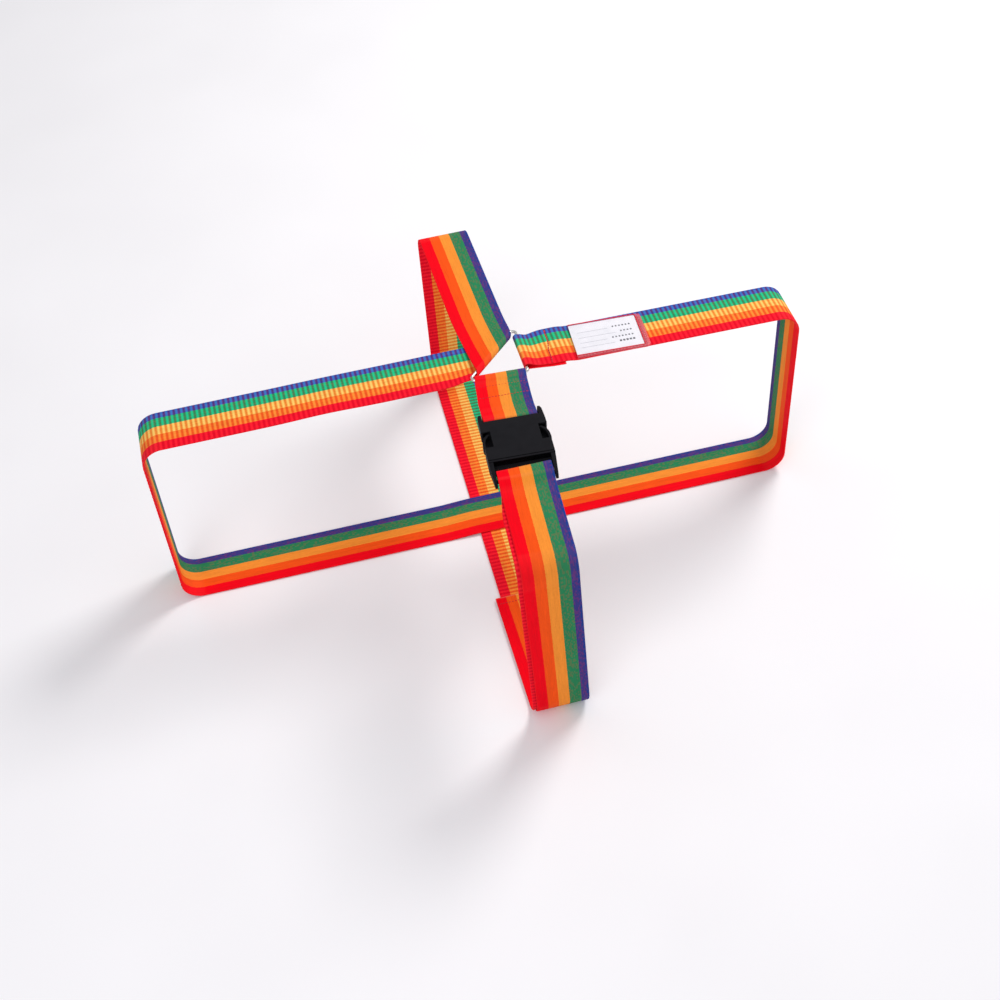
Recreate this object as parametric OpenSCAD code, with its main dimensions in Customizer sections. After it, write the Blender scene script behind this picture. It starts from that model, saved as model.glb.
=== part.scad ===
// Luggage strap for one case: a single belt of 50 mm webbing that wraps the case lengthwise and
// crosswise, a three-cornered wire ring at the crossing, a side-release buckle and an address tag pocket.
// Origin at the middle of the footprint, on the floor. +X along the case, +Y to its far side, +Z up.

/* [Wrapped case] */
// Outer length of the lengthwise loop
wrap_l = 636; // [560:1:760]
// Outer width of the crosswise loop
wrap_w = 478; // [420:1:540]
// Height of the top panel that the arms lie on
panel_z = 210; // [170:1:300]
// Bend radius of the webbing at its mid-plane
bend_r = 20; // [12:1:30]

/* [Webbing] */
// Width of the webbing
web_w = 50; // [38:1:50]
// Thickness of the webbing
web_t = 1.5; // [1.2:0.1:1.8]
// Free gap between webbing layers
layer_gap = 0.1; // [0.05:0.05:0.2]

/* [Crossing] */
// Crossing point of the arms, along the case
ring_x = 21.5; // [-60:0.5:60]
// Crossing point of the arms, across the case
ring_y = 27.4; // [-60:0.1:60]
// Distance from the crossing point to the ring's near and right bars, to the wire's centre
ring_half = 27.4; // [27.4:0.2:28]
// Radius of the ring's wire
wire_r = 1.5; // [1.25:0.25:2]
// Bend radius of the ring's square corner, at the wire's centre
square_corner = 2.2; // [2:0.1:2.5]
// Bend radius of the ring's two sharp corners, at the wire's centre
sharp_corner = 3; // [2.5:0.1:3.5]
// Turn of the ring about the vertical
ring_turn = -2.5; // [-3:0.5:-2]

/* [Arms] */
// Turn of the near arm, which carries the buckle
near_turn = 3.7; // [0:0.1:6]
// Sideways lean of the far arm
far_lean = -1.1; // [-3:0.1:3]
// Sideways lean of the right arm
right_lean = -1.2; // [-3:0.1:3]
// Sideways place of the right arm at the ring
right_off = 1; // [0:0.5:1]
// Sideways place of the left arm at the ring
left_off = -1.5; // [-2:0.5:-1]
// Length of webbing sewn back on itself at the right arm's loop
loop_lap = 38; // [30:1:45]

/* [Buckle] */
// Width of the buckle
buckle_w = 60; // [60:0.5:63]
// Height of the buckle
buckle_h = 13.5; // [13.5:0.5:15]
// Wall of the socket
wall = 1.8; // [1.6:0.1:2.2]

/* [Address tag] */
// Length of the card
card_l = 65; // [55:1:70]
// Width of the card
card_w = 42.5; // [38:0.5:44]
// Thickness of the card
card_t = 0.5; // [0.3:0.1:0.8]
// Width of the binding along the pocket's closed end
binding_w = 6; // [4:0.5:7]
// Thickness of the clear window
film_t = 0.4; // [0.3:0.1:0.5]
// Turn of the tag against the right arm
tag_turn = -2; // [-3:0.5:0]

/* [Hidden] */
$fn = 48;

red = [0.93, 0.12, 0.15];
orange = [0.96, 0.42, 0.14];
yellow = [0.95, 0.60, 0.25];
green = [0.25, 0.55, 0.38];
blue = [0.25, 0.30, 0.57];
black = [0.13, 0.13, 0.14];
pink = [0.93, 0.55, 0.58];
steel = [0.80, 0.81, 0.83];

half_t = web_t / 2;
pitch = web_t + layer_gap;
end_gap = 0.3;
mid_x = wrap_l / 2 - half_t;
mid_y = wrap_w / 2 - half_t;
turn_x = mid_x - bend_r;
turn_y = mid_y - bend_r;
z_low = half_t;
z_low_2 = z_low + pitch;
z_top = panel_z + half_t;
z_top_2 = z_top + pitch;
z_top_3 = z_top_2 + pitch;
turn_z_low = z_low + bend_r;
turn_z_top = z_top - bend_r;
bend_steps = 8;
// The end runs stop just short of the flat runs that they meet
under_gap = 0.4;

// The sewn loops hug the ring's wire loosely, so that it can turn a little in them
slack = 0.65;
ring_z = panel_z + web_t + slack + wire_r;
hug = wire_r + slack + half_t;

// Arm centre lines
function right_y(x) = ring_y + right_off + (x - ring_x) * tan(right_lean);
function far_x(y) = ring_x - 0.6 + (y - ring_y) * tan(far_lean);
left_y = ring_y + left_off;
near_x0 = ring_x - 0.3;
function near_pt(v, z, u = 0) =
  [near_x0 - v * sin(near_turn) + u * cos(near_turn), ring_y - v * cos(near_turn) - u * sin(near_turn), z];
near_end = (ring_y + turn_y) / cos(near_turn);
near_drop_top = 4;
near_drop_low = 10;
tail_shift = -3.5;
load_z = z_top_2 + 0.3;
near_across = [cos(near_turn), -sin(near_turn), 0];
tail_end_y = -90;

// Buckle stations along the near arm, from the ring towards the near side
ear_v = 79.5;
bar_v = 86.5;
cover_v = 91;
mouth_v = 141.5;
shoulder_v = mouth_v + 0.4;
shoulder_end_v = 148;
bar_1_v = 152;
bar_2_v = 160.5;
plug_end_v = 165.5;
socket_bar_z = panel_z + 5.2;
socket_bar_r = 2.2;
bar_1_z = panel_z + 5;
bar_1_r = 2;
bar_2_z = panel_z + 4;
bar_2_r = 1.8;
prong_z = panel_z + 3.4;
prong_h = 6.8;
window_v0 = 106;
window_v1 = 126;
window_depth = 8;
hinge_u = 21;
hinge_v = 138.5;
root_r = 2.2;

// Middle of the card on the right arm; the card clears the doubled webbing that it slides out over
tag_u = 109.8;
tag_y = -2;
mouth_lip = 2;
card_gap = 0.3;
binding_near = 3.6;
binding_far = 0.9;
pocket_l = mouth_lip + card_l + card_gap + binding_w;
pocket_w = binding_near + card_gap + card_w + card_gap + binding_far;
pocket_x0 = -card_l / 2 - mouth_lip;
pocket_y0 = -card_w / 2 - card_gap - binding_near;
film_gap = 0.15;
backing_z = panel_z + web_t + 0.05;
card_z = panel_z + web_t + pitch + 0.3;
backing_t = card_z - film_gap - backing_z;
window_z = card_z + card_t + film_gap;

function unit(v) = v / norm(v);
function backwards(p) = [for (i = [0:len(p) - 1]) p[len(p) - 1 - i]];
function arc(c, r, a0, a1, n = 10) =
  [for (i = [0:n]) let (a = a0 + (a1 - a0) * i / n) [c[0] + r * cos(a), c[1] + r * sin(a)]];

// Quarter bend between two points: it leaves level and ends upright, or the other way round
function bend_down(p, q) = [for (i = [0:bend_steps]) let (a = 90 * i / bend_steps)
  [p[0] + (q[0] - p[0]) * sin(a), p[1] + (q[1] - p[1]) * sin(a), p[2] + (q[2] - p[2]) * (1 - cos(a))]];
function bend_under(p, q) = [for (i = [0:bend_steps]) let (a = 90 * i / bend_steps, k = 1 - cos(a))
  [p[0] + (q[0] - p[0]) * k, p[1] + (q[1] - p[1]) * k, p[2] + (q[2] - p[2]) * sin(a)]];

// Flat strip between two edge lines: each station is [red edge, blue edge, unit normal]
module strip(stations) {
  last = 4 * (len(stations) - 1);
  pts = [for (s = stations) let (n = s[2] * half_t) each [s[0] - n, s[1] - n, s[1] + n, s[0] + n]];
  sides = [for (i = [0:len(stations) - 2]) for (j = [0:3]) let (a = 4 * i + j, b = 4 * i + (j + 1) % 4)
    each [[a, b, b + 4], [a, b + 4, a + 4]]];
  polyhedron(points = pts, faces = concat(sides, [[3, 2, 1, 0]], [[last, last + 1, last + 2, last + 3]]));
}
// Webbing swept along the mid-plane points p; side is the rough direction across it
function heading(p, i) = unit(p[min(i + 1, len(p) - 1)] - p[max(i - 1, 0)]);
function station_of(p, i, side, w) =
  let (h = heading(p, i), n = unit(cross(h, side)), b = cross(n, h)) [p[i] - b * w / 2, p[i] + b * w / 2, n];
module webbing(p, side, w = web_w) {
  widths = is_list(w) ? w : [for (q = p) w];
  strip([for (i = [0:len(p) - 1]) station_of(p, i, side, widths[i])]);
}
across_y = [0, 1, 0];
right_across = [-sin(right_lean), cos(right_lean), 0];
across_x = [-1, 0, 0];

// Frame of the near arm: x across it, y back towards the ring, z up
module on_near_arm() {
  translate([near_x0, ring_y, 0]) rotate([0, 0, -near_turn]) children();
}
// Frame of the right arm: x along it from the ring, y across it
module on_right_arm() {
  translate([ring_x, ring_y + right_off, 0]) rotate([0, 0, right_lean]) children();
}
// Frame of the tag: from the middle of the card, x along it and y across it
module on_tag() {
  on_right_arm() translate([tag_u, tag_y, 0]) rotate([0, 0, tag_turn]) children();
}

// The sewn loops are gathered between the ring's corners: width and sideways shift of each one at its bar
right_loop_w = web_w - 6.5;
right_loop_shift = -1.4;
near_loop_w = web_w - 1.6;
near_loop_shift = 1.6;

// ---- Belt, run by run ----
module right_top() {
  bar_x = ring_x + ring_half;
  lap_x = bar_x + loop_lap;
  spread = 24;
  lower = [[lap_x, z_top], [bar_x + spread, z_top], [bar_x + 4, z_top]];
  round_bar = arc([bar_x, ring_z], hug, 270, 90, 16);
  upper = [[bar_x + 4, ring_z + hug - 0.5], [bar_x + 11, z_top_2 + 0.4], [bar_x + 15, z_top_2],
    [bar_x + spread, z_top_2], [lap_x + 2, z_top_2], [lap_x + 9, z_top], [turn_x, z_top]];
  path = concat(lower, round_bar, upper);
  function gathered(x) = max(0, min(1, (bar_x + spread - x) / (spread - 4)));
  widths = [for (q = path) web_w - (web_w - right_loop_w) * gathered(q[0])];
  color(orange) webbing([for (q = path) [q[0], right_y(q[0]) + right_loop_shift * gathered(q[0]), q[1]]],
    right_across, widths);
}
module right_side() {
  y = right_y(mid_x);
  color(orange) webbing(concat(
    bend_down([turn_x + end_gap, right_y(turn_x + end_gap), z_top], [mid_x, y, turn_z_top]),
    bend_under([mid_x, y, turn_z_low], [turn_x + end_gap, y, z_low])), across_y);
}
module bottom_lengthwise() {
  x0 = -turn_x;
  y1 = right_y(mid_x);
  function lean_y(x) = y1 + (left_y - y1) * (turn_x - x) / (2 * turn_x);
  // It is level over the crosswise run and comes down to the floor on both sides of it
  level_1 = -16;
  level_2 = 44;
  ramp = 26;
  hump = [[turn_x, z_low], [level_2 + ramp, z_low], [level_2, z_low_2], [level_1, z_low_2],
    [level_1 - ramp, z_low], [x0, z_low]];
  color(orange) webbing([for (q = hump) [q[0], lean_y(q[0]), q[1]]], across_y);
}
module left_side() {
  color(orange) webbing(concat(
    bend_down([-turn_x - end_gap, left_y, z_top], [-mid_x, left_y, turn_z_top]),
    bend_under([-mid_x, left_y, turn_z_low], [-turn_x - end_gap, left_y, z_low])), across_y);
}
// The left arm ends under the ring's diagonal bar, y = x + diag_c, gathered between its sharp corners
diag_c = 10.4;
fold_y0 = 5.2;
fold_y1 = 49;
module left_top() {
  lo = left_y - web_w / 2;
  hi = left_y + web_w / 2;
  color(orange) translate([0, 0, panel_z]) linear_extrude(web_t)
    polygon([[-turn_x, lo], [fold_y0 - diag_c - 28, lo], [fold_y0 - diag_c, fold_y0],
      [fold_y1 - diag_c, fold_y1], [fold_y1 - diag_c - 35, hi], [-turn_x, hi]]);
}
// Round the diagonal bar: the belt crosses it at 45 degrees, so it climbs along the bar as it turns
diagonal = [1, 1, 0] / sqrt(2);
outward = [1, -1, 0] / sqrt(2);
climb = hug * PI;
module fold_over() {
  start = -89;
  end = 89;
  n = 12;
  color(yellow) strip([for (i = [0:n]) let (a = start + (end - start) * i / n,
    radial = outward * cos(a) + [0, 0, sin(a)], shift = diagonal * climb * (a + 90) / 180 + radial * hug)
    [[fold_y0 - diag_c, fold_y0, ring_z] + shift, [fold_y1 - diag_c, fold_y1, ring_z] + shift, -radial]]);
}
// It leaves the bar's top as the far arm, comes down over the left arm and spreads to its full width
function settled_z(y) = z_top_2 - pitch * min(1, max(0, (y - 52) / 9));
function leaving_z(y, from) =
  settled_z(y) + (ring_z + hug - settled_z(y)) * pow(max(0, 1 - (y - from) / 35), 2);
module far_top() {
  gap = 0.1;
  run = climb / sqrt(2);
  red_y = fold_y0 + run + gap;
  blue_y = fold_y1 + run + gap;
  flat_y = 92;
  flat_x = far_x(flat_y);
  shares = [0, 0.07, 0.15, 0.24, 0.34, 0.44, 0.51, 0.6, 0.8, 1];
  leaving = [for (f = shares) let (yr = red_y + f * (flat_y - red_y), yb = blue_y + f * (flat_y - blue_y),
    xr = fold_y0 - diag_c + run, xb = fold_y1 - diag_c + run)
    [[xr + f * (flat_x - web_w / 2 - xr), yr, leaving_z(yr, red_y)],
     [xb + f * (flat_x + web_w / 2 - xb), yb, leaving_z(yb, blue_y)], [0, 0, -1]]];
  end_y = turn_y - end_gap;
  end_x = far_x(end_y);
  ending = [[[end_x - web_w / 2, end_y, z_top], [end_x + web_w / 2, end_y, z_top], [0, 0, -1]]];
  color(orange) strip(concat(leaving, ending));
}
module far_side() {
  x = far_x(mid_y);
  color(orange) webbing(concat(
    bend_down([far_x(turn_y + end_gap), turn_y + end_gap, z_top], [x, mid_y, turn_z_top]),
    bend_under([x, mid_y, turn_z_low], [x, turn_y + end_gap, z_low])), across_x);
}
module bottom_crosswise() {
  end_y = turn_y - under_gap;
  color(orange) webbing([[far_x(mid_y), end_y, z_low], [near_drop_low, -end_y, z_low]], across_x);
}
// Load strand up the near side, outside the tail
module near_side() {
  low = [near_drop_low, -turn_y - end_gap, z_low];
  top = near_pt(near_end + end_gap, load_z);
  color(orange) webbing(concat(
    backwards(bend_under([near_drop_low, -mid_y, turn_z_low], low)),
    backwards(bend_down(top, [near_drop_top, -mid_y, turn_z_top]))), -across_x);
}
// Load strand along the near arm, over both bars, down round bar 1 and up through the slot
function strand(q) = [for (a = q) near_pt(a[0], a[1])];
bar_1 = [bar_1_v, bar_1_z];
bar_2 = [bar_2_v, bar_2_z];
load_r = bar_1_r + layer_gap + half_t;
under_r = bar_2_r + layer_gap + half_t;
over_r = under_r + pitch;
cross_a = atan2(bar_2[1] - bar_1[1], bar_2[0] - bar_1[0]) - acos((load_r + under_r) / norm(bar_2 - bar_1));
leave_a = 60;
run_out = 10;
module near_top() {
  color(orange) webbing(strand(concat(
    [[near_end, load_z], [bar_2_v + run_out + 8, load_z], [bar_2_v + run_out + 1.5, load_z + 0.9]],
    arc(bar_2, over_r, leave_a, 90, 4),
    arc(bar_1, load_r, 90, 360 + cross_a, 16))), near_across);
}
// Tail: up through the slot, over bar 2 and back along the arm under the load strand
module tail_top() {
  slot = bar_2 + under_r * [cos(cross_a + 180), sin(cross_a + 180)];
  start = bar_1 + load_r * [cos(cross_a), sin(cross_a)];
  near = start + 0.08 * (slot - start);
  round_bar = arc(bar_2, under_r, cross_a + 180, leave_a, 8);
  leaving = [[bar_2_v + run_out, z_top + 0.9], [bar_2_v + run_out + 6.5, z_top]];
  shifted = [for (v = [bar_2_v + run_out + 30, near_end]) near_pt(v, z_top, tail_shift)];
  color(orange) webbing(concat(strand(concat([near], round_bar, leaving)), shifted), -near_across);
}
module tail_side() {
  inner_y = mid_y - pitch - 0.6;
  top = near_pt(near_end + 2 * end_gap, z_top, tail_shift);
  low_x = near_drop_low + tail_shift;
  color(orange) webbing(concat(
    bend_down(top, [near_drop_top + tail_shift, -inner_y, turn_z_top]),
    bend_under([low_x, -inner_y, turn_z_low], [low_x, -turn_y, z_low_2]),
    [[low_x, tail_end_y, z_low_2]]), across_x);
}

// ---- Short strap: a closed band round the ring's lower bar and the socket's bar ----
module short_strap() {
  ring_v = ring_half;
  socket_r = socket_bar_r + layer_gap + half_t;
  lap_v = ring_v + 33;
  path = concat(
    [[lap_v, z_top], [ring_v + 4, z_top]],
    arc([ring_v, ring_z], hug, 270, 90, 16),
    [[ring_v + 4, ring_z + hug - 0.3], [ring_v + 9, z_top_3 + 0.3], [lap_v, z_top_3],
      [bar_v - 14, z_top_3 + 0.6], [bar_v - 4, socket_bar_z + socket_r - 0.3]],
    arc([bar_v, socket_bar_z], socket_r, 90, -90),
    [[bar_v - 7, z_top_2 + 0.1], [ring_v + 8, z_top_2]]);
  spread = 16;
  function gathered(v) = max(0, min(1, (ring_v + spread - v) / (spread - 4)));
  widths = [for (q = path) web_w - (web_w - near_loop_w) * gathered(q[0])];
  color(red) webbing([for (q = path) near_pt(q[0], q[1], near_loop_shift * gathered(q[0]))],
    near_across, widths);
}

// ---- Ring of bent and butt-welded wire: a near bar, a right bar and a diagonal bar ----
near_dir = [-cos(ring_turn), -sin(ring_turn)];
right_dir = [-sin(ring_turn), cos(ring_turn)];
// The sharp points of its centre line: right, far and left
corner_right = [ring_x, ring_y] + ring_half * (right_dir * -1 - near_dir);
function on_diagonal(dir) =
  corner_right + dir * (diag_c + corner_right[0] - corner_right[1]) / (dir[1] - dir[0]);
ring_points = [corner_right, on_diagonal(right_dir), on_diagonal(near_dir)];
ring_bends = [square_corner, sharp_corner, sharp_corner];
function leg(i) = unit(ring_points[(i + 1) % 3] - ring_points[i % 3]);
function turn_at(i) = acos(leg(i + 2) * leg(i));
function cut_at(i) = ring_bends[i % 3] * tan(turn_at(i) / 2);
// Centre line: each bend is an arc of 12 steps, and the bars run straight between them
bend_turns = 12;
ring_path = [for (i = [0:2]) let (d = leg(i + 2), r = ring_bends[i], start = atan2(d[1], d[0]) - 90,
    middle = ring_points[i] - d * cut_at(i) + [-d[1], d[0]] * r)
  each [for (k = [0:bend_turns]) let (a = start + turn_at(i) * k / bend_turns)
    middle + r * [cos(a), sin(a)]]];
wire_sides = 20;
module wire_ring() {
  n = len(ring_path);
  function across_wire(k) =
    let (h = unit(ring_path[(k + 1) % n] - ring_path[(k + n - 1) % n])) [h[1], -h[0], 0];
  pts = [for (k = [0:n - 1]) each [for (j = [0:wire_sides - 1]) let (a = 360 * j / wire_sides)
    concat(ring_path[k], ring_z) + wire_r * (cos(a) * across_wire(k) + sin(a) * [0, 0, 1])]];
  faces = [for (k = [0:n - 1]) for (j = [0:wire_sides - 1])
    let (a = k * wire_sides, b = (k + 1) % n * wire_sides, m = (j + 1) % wire_sides)
    each [[a + j, b + j, b + m], [a + j, b + m, a + m]]];
  color(steel) polyhedron(points = pts, faces = faces);
}

// ---- Side-release buckle ----
shell_low = panel_z + 0.2;
shell_top = panel_z + buckle_h;
// Clear width between the socket's ears and between the plug's legs
strap_room = 52;
leg_in = 25.8;

// Outline of the socket, x across the arm and y along it
module socket_outline() {
  e = buckle_w / 2;
  side = [[e, -mouth_v], [e, -window_v0], [e - 0.4, -ear_v - 4], [e - 1.6, -ear_v]];
  polygon(concat(side, [for (q = backwards(side)) [-q[0], q[1]]]));
}
// Side view of the shell, y along the arm and z up, drawn across the full width
module side_slab(points, w) {
  rotate([90, 0, 90]) linear_extrude(w, center = true) polygon(points);
}
// Straight bar across the arm at station v and height z
module cross_bar(v, z, r, l) {
  translate([0, -v, z]) rotate([0, 90, 0]) cylinder(h = l, r = r, center = true);
}
module buckle_socket() {
  top = shell_top;
  low = shell_low;
  color(black) on_near_arm() difference() {
    intersection() {
      translate([0, 0, low]) linear_extrude(buckle_h) socket_outline();
      side_slab([[-ear_v, low + 1.6], [-ear_v, low + 8], [-cover_v, low + 10.6], [-cover_v - 8, top - 0.8],
        [-window_v1, top], [-mouth_v, top], [-mouth_v, low], [-cover_v, low]], buckle_w + 1);
    }
    // Room for the strap's bar, open above and below
    translate([-strap_room / 2, -cover_v, low - 1]) cube([strap_room, cover_v - ear_v + 1, buckle_h + 2]);
    // Cavity for the plug, open at the mouth
    side_slab([[-cover_v - 3, low + wall], [-cover_v - 3, top - wall - 2.4],
      [-cover_v - 9, top - wall - 0.6], [-mouth_v - 1, top - wall], [-mouth_v - 1, low + wall]],
      buckle_w - 2 * wall);
    // Side windows for the release tabs
    for (s = [-1, 1]) translate([s * buckle_w / 2, -(window_v0 + window_v1) / 2, panel_z])
      cube([2 * window_depth, window_v1 - window_v0, 3 * buckle_h], center = true);
  }
  color(black) on_near_arm() cross_bar(bar_v, socket_bar_z, socket_bar_r, strap_room + 0.6);
}
module buckle_plug() {
  low = shell_low;
  top = shell_top;
  leg_out = buckle_w / 2;
  color(black) on_near_arm() {
    // Shoulder that closes the mouth: a lip, and a deep step down to the bars
    side_slab([[-shoulder_v, low], [-shoulder_v, top - 0.6], [-shoulder_v - 1.6, top - 0.9],
      [-shoulder_v - 2.2, low + 6.4], [-shoulder_end_v, low + 5.6], [-shoulder_end_v, low + 0.4]], buckle_w);
    // Side legs that carry the two bars, tapered towards their tips
    intersection() {
      side_slab([[-shoulder_v - 1, low + 0.4], [-shoulder_v - 1, top - 1.2], [-bar_1_v, low + 9],
        [-bar_2_v, low + 7], [-plug_end_v + 1, low + 5.4], [-plug_end_v, low + 3.6],
        [-plug_end_v, low + 0.8]], buckle_w);
      for (s = [0, 1]) mirror([s, 0, 0]) translate([0, 0, low]) linear_extrude(buckle_h)
        polygon([[leg_in, -shoulder_v], [leg_out, -shoulder_v], [leg_out - 0.3, -shoulder_end_v],
          [leg_in + 2.4, -plug_end_v], [leg_in, -plug_end_v]]);
    }
    cross_bar(bar_1_v, bar_1_z, bar_1_r, 2 * leg_in + 2);
    cross_bar(bar_2_v, bar_2_z, bar_2_r, 2 * leg_in + 2);
    // Middle guide tongue
    translate([-4, -shoulder_v - 1, prong_z + 0.8]) cube([8, shoulder_v - cover_v - 5, prong_h - 1.6]);
    // Roots of the two prongs
    for (s = [-1, 1]) translate([s * hinge_u - 3.5, -shoulder_v - 1, prong_z]) cube([7, 2.2, prong_h]);
  }
}
// Springy prong: an arm inside the socket and a release tab in its side window
module prong(s) {
  arm_out = [[hinge_u + root_r, -hinge_v], [24.5, -window_v1 - 6], [25.4, -window_v1 + 0.8]];
  tab = [[30.8, -window_v1 + 0.6], [31.1, -window_v1 + 4], [30.4, -window_v0 - 9],
    [28.6, -window_v0 - 4.5], [25.6, -window_v0 - 1], [22, -window_v0 + 2], [19.5, -window_v0 - 2]];
  arm_in = [[20.3, -window_v1 + 6], [20, -window_v1 - 6], [hinge_u - root_r, -hinge_v]];
  color(black) on_near_arm() mirror([s < 0 ? 1 : 0, 0, 0]) translate([0, 0, prong_z])
    linear_extrude(prong_h) {
      translate([hinge_u, -hinge_v]) circle(r = root_r);
      polygon(concat(arm_out, tab, arm_in));
    }
}
module release_prong_left() { prong(-1); }
module release_prong_right() { prong(1); }

// ---- Address tag pocket on the right arm ----
module pocket_sheet(z, t) {
  on_tag() translate([pocket_x0, pocket_y0, z]) cube([pocket_l, pocket_w, t]);
}
module tag_backing() { color(pink) pocket_sheet(backing_z, backing_t); }
module tag_window() { color([0.9, 0.95, 1, 0.4]) pocket_sheet(window_z, film_t); }
// Three-sided edging that joins the window to the backing; the end towards the ring is open
module tag_binding() {
  skin = 0.01;
  h = window_z - card_z + film_gap - 2 * skin;
  color(pink) difference() {
    pocket_sheet(card_z - film_gap + skin, h);
    on_tag() translate([pocket_x0 - 1, pocket_y0 + binding_near, card_z - 1])
      cube([card_l + mouth_lip + 1 + card_gap, card_w + 2 * card_gap, h + 2]);
  }
}
module tag_card() {
  color("white") on_tag() translate([-card_l / 2, -card_w / 2, card_z]) cube([card_l, card_w, card_t]);
}

// ---- Sewing thread ----
seam_v = [40, 54.5];
seam_w = web_w - 4;
seam_n = 15;
loop_seam_x = 53.5;
loop_seam_turn = -5;
thread_r = 0.35;
// A row of n short stitches over width w, pulled down into the surface at height z
module stitch_row(n, w, z) {
  step = w / n;
  proud = 0.15;
  for (i = [0:n - 1]) translate([0, -w / 2 + step * (i + 0.5), z + proud - thread_r])
    rotate([90, 0, 0]) cylinder(h = step * 0.7, r = thread_r, center = true, $fn = 16);
}
module right_loop_stitches() {
  color(red) on_right_arm() translate([loop_seam_x, 0, 0]) rotate([0, 0, loop_seam_turn])
    stitch_row(seam_n, seam_w, z_top_2 + half_t);
}
module short_strap_stitches() {
  color(red) on_near_arm() for (v = seam_v) translate([0, -v, 0]) rotate([0, 0, 90])
    stitch_row(seam_n, seam_w, z_top_3 + half_t);
}
module tag_stitches() {
  z = window_z + film_t;
  middle_y = pocket_y0 + pocket_w / 2;
  color(pink) on_tag() {
    for (y = [pocket_y0 + binding_near / 2, pocket_y0 + pocket_w - 0.6])
      translate([pocket_x0 + pocket_l / 2, y, 0]) rotate([0, 0, 90]) stitch_row(18, pocket_l - 4, z);
    translate([pocket_x0 + pocket_l - binding_w / 2, middle_y, 0]) stitch_row(12, pocket_w - 6, z);
  }
}
module tail_hem_stitches() {
  color(red) translate([near_drop_low + tail_shift, tail_end_y - 8, 0]) rotate([0, 0, 90])
    stitch_row(seam_n, seam_w, z_low_2 + half_t);
}

right_top();
right_side();
bottom_lengthwise();
left_side();
left_top();
fold_over();
far_top();
far_side();
bottom_crosswise();
near_side();
near_top();
tail_top();
tail_side();
short_strap();
wire_ring();
buckle_socket();
buckle_plug();
release_prong_left();
release_prong_right();
tag_backing();
tag_window();
tag_binding();
tag_card();
right_loop_stitches();
short_strap_stitches();
tag_stitches();
tail_hem_stitches();
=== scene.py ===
"""Luggage strap: striped belt, wire ring, side-release buckle and address tag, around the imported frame."""
import math

import bmesh
import bpy
import numpy as np
from mathutils import Matrix, Vector


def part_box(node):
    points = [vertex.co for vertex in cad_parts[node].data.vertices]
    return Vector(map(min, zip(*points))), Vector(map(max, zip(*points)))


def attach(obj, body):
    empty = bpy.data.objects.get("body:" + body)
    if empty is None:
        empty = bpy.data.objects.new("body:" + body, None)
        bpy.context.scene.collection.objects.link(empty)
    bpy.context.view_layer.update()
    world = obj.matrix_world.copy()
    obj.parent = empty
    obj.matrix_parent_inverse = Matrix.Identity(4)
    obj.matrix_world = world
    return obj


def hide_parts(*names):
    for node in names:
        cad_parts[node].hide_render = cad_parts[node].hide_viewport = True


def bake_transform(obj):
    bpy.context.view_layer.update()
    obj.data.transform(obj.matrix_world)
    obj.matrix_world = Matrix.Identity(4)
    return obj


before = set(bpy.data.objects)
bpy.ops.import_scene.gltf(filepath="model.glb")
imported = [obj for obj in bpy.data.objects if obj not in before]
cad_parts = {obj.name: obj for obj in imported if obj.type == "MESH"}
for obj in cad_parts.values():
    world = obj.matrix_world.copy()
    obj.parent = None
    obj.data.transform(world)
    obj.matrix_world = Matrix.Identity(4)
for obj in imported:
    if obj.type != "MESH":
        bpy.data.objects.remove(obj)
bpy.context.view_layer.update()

# ---- Driving dimensions, in mm; the outer ones are read from the frame ----
MM = 0.001


def cad_box(node):
    """Lowest and highest corner of a CAD node, in mm."""
    low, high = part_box(node)
    return np.array(low) / MM, np.array(high) / MM


WEB_W = 50.0
WEB_T = cad_box("left_top")[1][2] - cad_box("left_top")[0][2]
HALF_T = WEB_T / 2
PANEL_Z = cad_box("left_top")[0][2]
PITCH = WEB_T + 0.1
BEND_R = 20.0
MID_X = cad_box("right_side")[1][0] - HALF_T
MID_Y = cad_box("far_side")[1][1] - HALF_T
TURN_X = MID_X - BEND_R
TURN_Y = MID_Y - BEND_R
Z_LOW = HALF_T
Z_TOP = PANEL_Z + HALF_T
Z_TOP_2 = Z_TOP + PITCH
Z_TOP_3 = Z_TOP_2 + PITCH
TURN_Z_LOW = Z_LOW + BEND_R
TURN_Z_TOP = Z_TOP - BEND_R

# Crossing and ring
RING_X, RING_Y = 21.5, 27.4
RING_HALF = 27.4
RING_LOW, RING_HIGH = cad_box("wire_ring")
WIRE_R = (RING_HIGH[2] - RING_LOW[2]) / 2
RING_Z = (RING_HIGH[2] + RING_LOW[2]) / 2
HUG = WIRE_R + 0.65 + HALF_T
DIAG_C = 10.4
FOLD_Y0, FOLD_Y1 = 5.2, 49.0
RING_TURN = math.radians(-2.5)

# Arms
NEAR_TURN = math.radians(3.7)
FAR_LEAN = math.tan(math.radians(-1.1))
RIGHT_TURN = math.radians(-1.2)
RIGHT_Y = RING_Y + 1.0
LEFT_Y = RING_Y - 1.5
NEAR_X = RING_X - 0.3
LOAD_Z = Z_TOP_2 + 0.3
NEAR_END = (RING_Y + TURN_Y) / math.cos(NEAR_TURN)
# Width and sideways shift of each sewn loop at its bar
RIGHT_LOOP_W, RIGHT_LOOP_SHIFT = WEB_W - 6.5, -1.4
NEAR_LOOP_W, NEAR_LOOP_SHIFT = WEB_W - 1.6, 1.6
# Length of the right arm's sewn-back layer, and of the part that is gathered
RIGHT_LAP, GATHER_L = 38, 22
# Middle of the near side at its top and foot, and the tail that lies inside it
NEAR_SIDE_TOP_X, NEAR_SIDE_LOW_X = 4.0, 10.0
TAIL_SHIFT, TAIL_END_Y, TAIL_SEAM_Y = -3.5, -90, -98
# Where the far arm has spread to its full width
FAR_FLAT_Y = 92

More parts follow.
